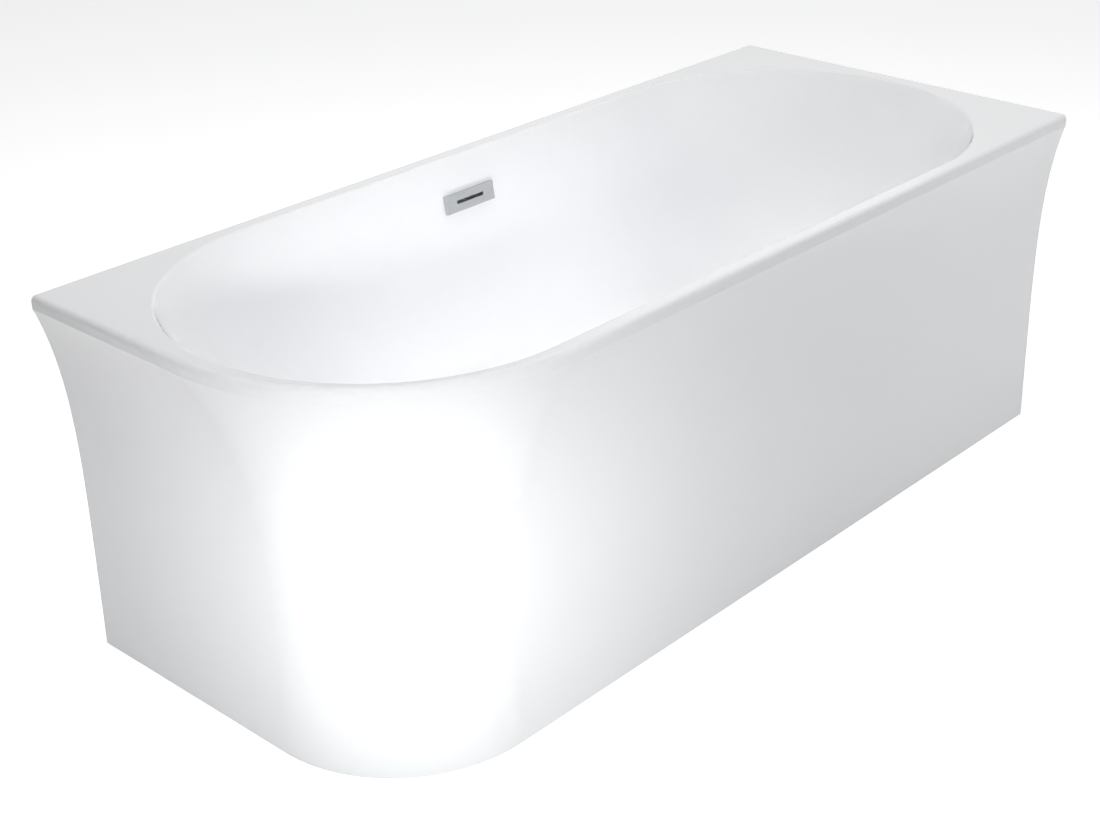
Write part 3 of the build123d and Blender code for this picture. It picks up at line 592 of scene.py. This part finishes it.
    def _column(self, station: tuple[int, float]) -> list[Point]:
        """One closed section through the moulding.

        Args:
            station: As _stations gives it.

        Returns:
            The section's points, from the waste hole over the inside, the rim and the outside.
        """
        part, place = station
        turn = {0: place, 2: math.pi - place}.get(part, math.pi / 2)
        slope, top, floor = self._slope(turn), self.rim_level, self.floor_level
        edge, soft = self.basin_edge_round, self.wall_edge_round
        turns = np.linspace(0, math.pi / 2 - slope, self.round_steps)
        rises = [1 - math.cos(a) for a in turns]
        inside = [floor + self.floor_round * rise for rise in rises]
        wall_top = top - edge * (1 - math.sin(slope))
        inside += np.linspace(inside[-1], wall_top, self.wall_steps)[1:].tolist()
        turns = np.linspace(slope, math.pi / 2, self.edge_steps)[1:]
        inside += [top - edge + edge * math.sin(a) for a in turns]
        basin = [self._basin_point(station, level, 0.0) for level in inside]
        rim = []
        for angle in np.linspace(math.pi / 2, 0.0, self.lip_steps):
            level = top - self.lip_round * (1 - math.sin(angle))
            front_inset = self.lip_round * (1 - math.cos(angle))
            above = max(0.0, level - (top - soft))
            wall_inset = soft - math.sqrt(max(0.0, soft**2 - above**2))
            rim.append(self._rim_point(station, level, front_inset, wall_inset))
        under = top - self.wall
        lip_end = ((self.lip_bottom, 0.0), (self.lip_bottom, self.wall), (under, self.wall))
        for level, inset in lip_end:
            rim.append(self._rim_point(station, level, inset, inset))
        low, radius = floor - self.wall, self.floor_round + self.wall
        outside = [low + radius * rise for rise in rises]
        outside += np.linspace(outside[-1], under, self.outside_steps)[1:].tolist()
        back = [self._basin_point(station, level, self.wall) for level in reversed(outside)]
        return self._waste_rings(basin[0]) + basin + rim + back

    def _waste_rings(self, toward: Point) -> list[Point]:
        """The waste hole's edge points that face one point of the floor.

        Args:
            toward: The point.

        Returns:
            Points from the boss under the floor, up the hole and out to the floor.
        """
        angle = math.atan2(toward[1] - self.waste_y, toward[0])
        floor = self.floor_level
        low = floor - self.wall
        rings = [
            (self.boss_radius, low),
            (self.boss_radius, low - self.boss_drop),
            (self.hole_radius, low - self.boss_drop),
            (self.hole_radius, floor - self.recess_depth),
            (self.recess_radius, floor - self.recess_depth),
            (self.recess_radius, floor - self.recess_edge),
            (self.recess_radius + self.recess_edge, floor),
        ]
        return [(r * math.cos(angle), self.waste_y + r * math.sin(angle), z) for r, z in rings]

    def _overflow_cutter(self) -> bpy.types.Object:
        """The prism that opens the wall for the overflow.

        Returns:
            The prism.
        """
        long, tall = self.overflow_hole
        straight, radius = (long - tall) / 2, tall / 2
        ring = [
            (side * (straight + radius * math.cos(a)), side * radius * math.sin(a))
            for side in (1, -1)
            for a in np.linspace(-math.pi / 2, math.pi / 2, self.slot_steps)
        ]
        drop = self.rim_level - self.overflow_level
        y = self.basin_half_width - drop * math.tan(self.side_slope)
        start, along = Vector((0, y, self.overflow_level)), Vector((1, 0, 0))
        across = Vector((0, -math.cos(self.side_slope), math.sin(self.side_slope)))
        up = Vector((0, math.sin(self.side_slope), math.cos(self.side_slope)))
        loops = [
            [tuple(start + along * u + up * v + across * depth) for u, v in ring]
            for depth in self.overflow_cut
        ]
        return MeshWorks.strip("overflow_cutter", np.array(loops))

    def build(self) -> bpy.types.Object:
        """Makes the moulding in the CAD shell's place.

        Returns:
            The moulding.
        """
        points = np.array([self._column(station) for station in self._stations()])
        piece = MeshWorks.torus_grid("tub_moulding", points)
        MeshWorks.cut(piece, self._overflow_cutter())
        MeshWorks.shade(piece)
        piece.data.materials.clear()
        piece.data.materials.append(Finishes.acrylic.build())
        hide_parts("tub_shell")
        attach(piece, "tub")
        return piece


@dataclass
class Apron:
    """The flared sheet round the front, the free corner and the left end."""

    half_length: float = 0.825
    half_width: float = 0.35
    top: float = 0.5799
    wall: float = 0.005
    flare_front: float = 0.037
    flare_end: float = 0.046
    flare_power: float = 5.0
    rim_corner_radius: float = 0.375
    tightening: float = 0.14
    edge_round: float = 0.0003
    ledge_start: float = 0.005
    tongue: tuple[float, float] = (0.0054, 0.0094)
    ledge_height: float = 0.012
    tongue_top: float = 0.592
    left_steps: int = 16
    corner_steps: int = 72
    front_steps: int = 40
    levels: int = 56

    def _point(self, place: float, level: float, inset: float, stop: float = 0.0) -> Point:
        """A point of the sheet.

        Args:
            place: 0 to 1 along the left end, to 2 round the corner and to 3 along the front.
            level: The height.
            inset: The inset from the outside face.
            stop: How far the sheet stops short of both walls.

        Returns:
            The point.
        """
        rise = (level / self.top) ** self.flare_power
        left = self.flare_end * (1 - rise) - self.half_length + inset
        front = self.flare_front * (1 - rise) - self.half_width + inset
        radius = self.rim_corner_radius - self.tightening * (1 - rise) - inset
        if place <= 1.0:
            start = self.half_width - stop
            return (left, start + (front + radius - start) * place, level)
        if place < 2.0:
            angle = math.pi * (1 + (place - 1) / 2)
            x = left + radius * (1 + math.cos(angle))
            return (x, front + radius * (1 + math.sin(angle)), level)
        start, end = left + radius, self.half_length - stop
        return (start + (end - start) * (place - 2), front, level)

    def _places(self) -> list[float]:
        """The stations along the sheet.

        Returns:
            Numbers from 0 to 3, as _point takes them.
        """
        left = np.linspace(0.0, 1.0, self.left_steps + 1)[:-1]
        corner = np.linspace(1.0, 2.0, self.corner_steps + 1)[:-1]
        front = np.linspace(2.0, 3.0, self.front_steps + 1)
        return [*left.tolist(), *corner.tolist(), *front.tolist()]

    def build(self) -> bpy.types.Object:
        """Makes the sheet in the CAD apron's place.

        Returns:
            The sheet.
        """
        soft, places = self.edge_round, self._places()
        up = np.linspace(soft, self.top - soft, self.levels).tolist()
        sheet = [(level, 0.0) for level in up]
        sheet += [(self.top, soft), (self.top, self.wall - soft)]
        sheet += [(level, self.wall) for level in reversed(up)]
        sheet += [(0.0, self.wall - soft), (0.0, soft)]
        loops = [[self._point(place, level, inset) for level, inset in sheet] for place in places]
        piece = MeshWorks.strip("apron_moulding", np.array(loops))
        low, shoulder = self.top - self.ledge_height, self.top - soft
        outer, inner_face = self.tongue
        tongue = [
            (low, self.ledge_start), (shoulder, self.ledge_start), (shoulder, outer),
            (self.tongue_top, outer), (self.tongue_top, inner_face), (low, inner_face),
        ]
        loops = [
            [self._point(place, self.top, inset, outer)[:2] + (level,) for level, inset in tongue]
            for place in places
        ]
        inner = MeshWorks.strip("apron_tongue", np.array(loops))
        MeshWorks.shade(inner)
        MeshWorks.shade(piece)
        for part in (piece, inner):
            part.data.materials.clear()
            part.data.materials.append(Finishes.apron.build())
            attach(part, "tub")
        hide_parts("apron_panel")
        return piece


@dataclass
class CadDresser:
    """Gives CAD nodes their finishes and smooth shading."""

    plan: dict[str, Finish] = field(default_factory=dict)

    def add(self, finish: Finish, *nodes: str) -> None:
        """Plans one finish for some nodes.

        Args:
            finish: The finish.
            nodes: The nodes' names.
        """
        for node in nodes:
            self.plan[node] = finish

    def dress(self) -> None:
        """Puts every planned finish on its node."""
        for name, finish in self.plan.items():
            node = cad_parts[name]
            node.data.materials.clear()
            node.data.materials.append(finish.build())
            self._smooth(node)

    @staticmethod
    def _smooth(node: bpy.types.Object) -> None:
        """Shades a node smooth apart from its sharp edges."""
        mesh = node.data
        mesh.polygons.foreach_set("use_smooth", [True] * len(mesh.polygons))
        split = node.modifiers.new("sharp_edges", "EDGE_SPLIT")
        split.split_angle = SHARP_TURN


@dataclass(frozen=True)
class Glow:
    """Soft light from one side of the surround.

    Attributes:
        toward: The direction that it comes from.
        sharpness: The power that narrows it.
        strength: Its strength in the middle.
    """

    toward: Point
    sharpness: float
    strength: float


@dataclass(frozen=True)
class Panel:
    """One soft panel light.

    Attributes:
        name: Its name.
        place: Where it hangs.
        aim: What it points at.
        size: Its width and height.
        power: Its power in watts.
        spread: The full angle that it shines into, in degrees.
    """

    name: str
    place: Point
    aim: Point
    size: tuple[float, float]
    power: float
    spread: float = 180.0


@dataclass
class Studio:
    """The floor, the soft lights and the camera."""

    camera_place: Point = (-2.148, -1.9092, 1.6589)
    yaw: float = 47.482
    pitch: float = 24.502
    roll: float = -0.896
    focal_pixels: float = 1933.2
    centre_pixel: tuple[float, float] = (580.0, 340.0)
    frame_pixels: tuple[int, int] = (1100, 824)
    sensor_width: float = 36.0
    sight: tuple[float, float] = (0.05, 100.0)
    floor_reach: float = 15.0
    floor_grey: float = 0.8
    floor_glow: float = 0.72
    sky: Colour = (0.96, 0.98, 1.0)
    even_glow: float = 0.04
    glows: tuple[Glow, ...] = (Glow((0.2, 1.0, 0.3), 2.0, 0.3),)
    panels: tuple[Panel, ...] = (
        Panel("overhead", (0.2, 0.1, 2.8), (0.1, 0.0, 0.3), (3.0, 2.0), 47.0),
        Panel("front_right", (1.3, -2.9, 1.2), (0.4, -0.2, 0.3), (1.6, 1.4), 26.5),
        Panel("side", (-3.2, -1.2, 1.0), (-0.6, -0.1, 0.4), (1.4, 1.2), 19.0),
        Panel("corner_key", (-2.3, -2.0, 0.9), (-0.72, -0.27, 0.3), (0.45, 0.45), 1.4, 24.0),
        Panel("basin_fill", (0.0, -0.02, 2.6), (0.0, -0.02, 0.2), (0.9, 0.25), 2.7, 16.0),
    )

    def build(self) -> None:
        """Makes all of it."""
        self._camera()
        self._floor()
        self._world()
        self._lights()
        bpy.context.scene.view_settings.view_transform = "Standard"

    def _camera(self) -> None:
        """Places the camera at the photograph's angle."""
        wide, high = self.frame_pixels
        data = bpy.data.cameras.new("camera")
        data.sensor_width = self.sensor_width
        data.lens = self.focal_pixels * self.sensor_width / wide
        data.shift_x = (wide / 2 - self.centre_pixel[0]) / wide
        data.shift_y = (self.centre_pixel[1] - high / 2) / wide
        data.clip_start, data.clip_end = self.sight
        yaw, pitch, roll = (math.radians(v) for v in (self.yaw, self.pitch, self.roll))
        flat = math.cos(pitch)
        ahead = Vector((math.sin(yaw) * flat, math.cos(yaw) * flat, -math.sin(pitch)))
        level = ahead.cross(Vector((0, 0, 1))).normalized()
        upright = level.cross(ahead)
        right = level * math.cos(roll) + upright * math.sin(roll)
        up = upright * math.cos(roll) - level * math.sin(roll)
        camera = bpy.data.objects.new("camera", data)
        turn = Matrix((right, up, -ahead)).transposed().to_4x4()
        camera.matrix_world = Matrix.Translation(self.camera_place) @ turn
        bpy.context.scene.collection.objects.link(camera)
        bpy.context.scene.camera = camera

    def _floor(self) -> None:
        """Lays a plain pale floor."""
        corners = np.array([(-1, -1, 0), (1, -1, 0), (1, 1, 0), (-1, 1, 0)], float)
        floor = MeshWorks.make("floor", corners * self.floor_reach, [(0, 1, 2, 3)])
        material = bpy.data.materials.new("pale_floor")
        material.use_nodes = True
        tree = material.node_tree
        tree.nodes.clear()
        paint = tree.nodes.new("ShaderNodeBsdfDiffuse")
        paint.inputs["Color"].default_value = (*(self.floor_grey,) * 3, 1.0)
        glow = tree.nodes.new("ShaderNodeEmission")
        glow.inputs["Strength"].default_value = self.floor_glow
        both = tree.nodes.new("ShaderNodeAddShader")
        choice = tree.nodes.new("ShaderNodeMixShader")
        out = tree.nodes.new("ShaderNodeOutputMaterial")
        tree.links.new(paint.outputs[0], both.inputs[0])
        tree.links.new(glow.outputs[0], both.inputs[1])
        tree.links.new(self._seen(tree), choice.inputs[0])
        tree.links.new(paint.outputs[0], choice.inputs[1])
        tree.links.new(both.outputs[0], choice.inputs[2])
        tree.links.new(choice.outputs[0], out.inputs["Surface"])
        floor.data.materials.append(material)

    @staticmethod
    def _seen(tree: bpy.types.NodeTree) -> bpy.types.NodeSocket:
        """Tells the rays that see the background from those that only light the bath.

        Args:
            tree: The node tree to add to.

        Returns:
            A socket that is 1 for camera, glossy and transmission rays.
        """
        path = tree.nodes.new("ShaderNodeLightPath")
        first = tree.nodes.new("ShaderNodeMath")
        second = tree.nodes.new("ShaderNodeMath")
        first.operation = second.operation = "MAXIMUM"
        tree.links.new(path.outputs["Is Camera Ray"], first.inputs[0])
        tree.links.new(path.outputs["Is Glossy Ray"], first.inputs[1])
        tree.links.new(first.outputs[0], second.inputs[0])
        tree.links.new(path.outputs["Is Transmission Ray"], second.inputs[1])
        return second.outputs[0]

    def _world(self) -> None:
        """Sets a white surround whose soft light is stronger from some sides."""
        world = bpy.data.worlds.new("surround")
        bpy.context.scene.world = world
        world.use_nodes = True
        tree = world.node_tree
        tree.nodes.clear()
        place = tree.nodes.new("ShaderNodeTexCoord")
        soft = tree.nodes.new("ShaderNodeBackground")
        soft.inputs["Color"].default_value = (*self.sky, 1.0)
        soft.inputs["Strength"].default_value = self.even_glow
        total = None
        for glow in self.glows:
            total = self._add_glow(tree, place.outputs["Generated"], glow, total)
        if total is not None:
            tree.links.new(total, soft.inputs["Strength"])
        white = tree.nodes.new("ShaderNodeBackground")
        white.inputs["Color"].default_value = (1.0, 1.0, 1.0, 1.0)
        choice = tree.nodes.new("ShaderNodeMixShader")
        out = tree.nodes.new("ShaderNodeOutputWorld")
        tree.links.new(self._seen(tree), choice.inputs[0])
        tree.links.new(soft.outputs[0], choice.inputs[1])
        tree.links.new(white.outputs[0], choice.inputs[2])
        tree.links.new(choice.outputs[0], out.inputs["Surface"])

    def _add_glow(
        self, tree: bpy.types.NodeTree, way: bpy.types.NodeSocket, glow: Glow,
        total: bpy.types.NodeSocket | None,
    ) -> bpy.types.NodeSocket:
        """Adds one glow to the surround's strength.

        Args:
            tree: The world's node tree.
            way: The socket that gives the direction.
            glow: The glow.
            total: The strength so far, or None before the first glow.

        Returns:
            The new strength.
        """
        lean = tree.nodes.new("ShaderNodeVectorMath")
        lean.operation = "DOT_PRODUCT"
        lean.inputs[1].default_value = Vector(glow.toward).normalized()
        ahead, narrow, share = (tree.nodes.new("ShaderNodeMath") for _ in range(3))
        ahead.operation, narrow.operation, share.operation = "MAXIMUM", "POWER", "MULTIPLY_ADD"
        ahead.inputs[1].default_value = 0.0
        narrow.inputs[1].default_value = glow.sharpness
        share.inputs[1].default_value = glow.strength
        share.inputs[2].default_value = self.even_glow
        tree.links.new(way, lean.inputs[0])
        tree.links.new(lean.outputs["Value"], ahead.inputs[0])
        tree.links.new(ahead.outputs[0], narrow.inputs[0])
        tree.links.new(narrow.outputs[0], share.inputs[0])
        if total is not None:
            tree.links.new(total, share.inputs[2])
        return share.outputs[0]

    def _lights(self) -> None:
        """Hangs the soft panel lights, which don't show in the gloss."""
        for panel in self.panels:
            data = bpy.data.lights.new(panel.name, "AREA")
            data.shape = "RECTANGLE"
            data.size, data.size_y = panel.size
            data.energy = panel.power
            data.spread = math.radians(panel.spread)
            light = bpy.data.objects.new(panel.name, data)
            light.location = panel.place
            light.rotation_mode = "QUATERNION"
            toward = Vector(panel.aim) - Vector(panel.place)
            light.rotation_quaternion = toward.to_track_quat("-Z", "Y")
            light.visible_glossy = False
            bpy.context.scene.collection.objects.link(light)


def dress_hidden_parts() -> CadDresser:
    """Plans the finishes of the fittings, the frame and the feet.

    Returns:
        The plan, ready to dress.
    """
    dresser = CadDresser()
    dresser.add(Finishes.chrome, "overflow_plate", "waste_flange", "plug_cap")
    dresser.add(Finishes.stainless, "overflow_collar")
    dresser.add(
        Finishes.zinc, "cross_rail_left", "cross_rail_right", "floor_brackets",
        "wall_clip_back_left", "wall_clip_back_right", "wall_clip_end",
    )
    spindles = [f"foot_spindle_{number}" for number in range(1, 5)]
    dresser.add(
        Finishes.bright_zinc, "bracket_screws", "rail_screws", "overflow_screws", "rail_bushes",
        "lock_nuts", *spindles,
    )
    dresser.add(Finishes.brass, "plug_cartridge", "plug_stem")
    dresser.add(
        Finishes.particle_board, "base_board", "corner_board_back_left", "corner_board_back_right",
        "corner_board_front_right",
    )
    dresser.add(Finishes.softwood, "rim_batten_front", "rim_batten_back", "apron_batten_front")
    dresser.add(
        Finishes.softwood_across, "rim_batten_left", "rim_batten_right", "apron_batten_left",
    )
    dresser.add(Finishes.black_plastic, "rail_end_caps")
    dresser.add(Finishes.foot_plastic, *[f"foot_pad_{number}" for number in range(1, 5)])
    dresser.add(
        Finishes.rubber, "overflow_gasket", "pipe_seal_upper", "pipe_seal_lower",
        "waste_flange_seal", "waste_body_seal", "plug_seal", "trap_washer", "trap_cup_seal",
        "outlet_seal",
    )
    dresser.add(
        Finishes.pipe_plastic, "overflow_chamber", "overflow_pipe", "waste_body", "trap_body",
        "outlet_pipe",
    )
    dresser.add(
        Finishes.nut_plastic, "pipe_nut_upper", "pipe_nut_lower", "trap_nut", "trap_cup",
        "outlet_nut",
    )
    return dresser


def main() -> None:
    """Builds the picture model and reports each piece."""
    logging.basicConfig(level=logging.INFO, format="%(message)s")
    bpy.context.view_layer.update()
    Studio().build()
    log.info("studio is set")
    steps: list[tuple[str, Callable[[], object]]] = [
        ("tub moulding", Shell().build),
        ("apron moulding", Apron().build),
        ("fittings, frame and feet", dress_hidden_parts().dress),
    ]
    for name, step in steps:
        step()
        log.info("%s is ready", name)


if __name__ == "__main__":
    main()
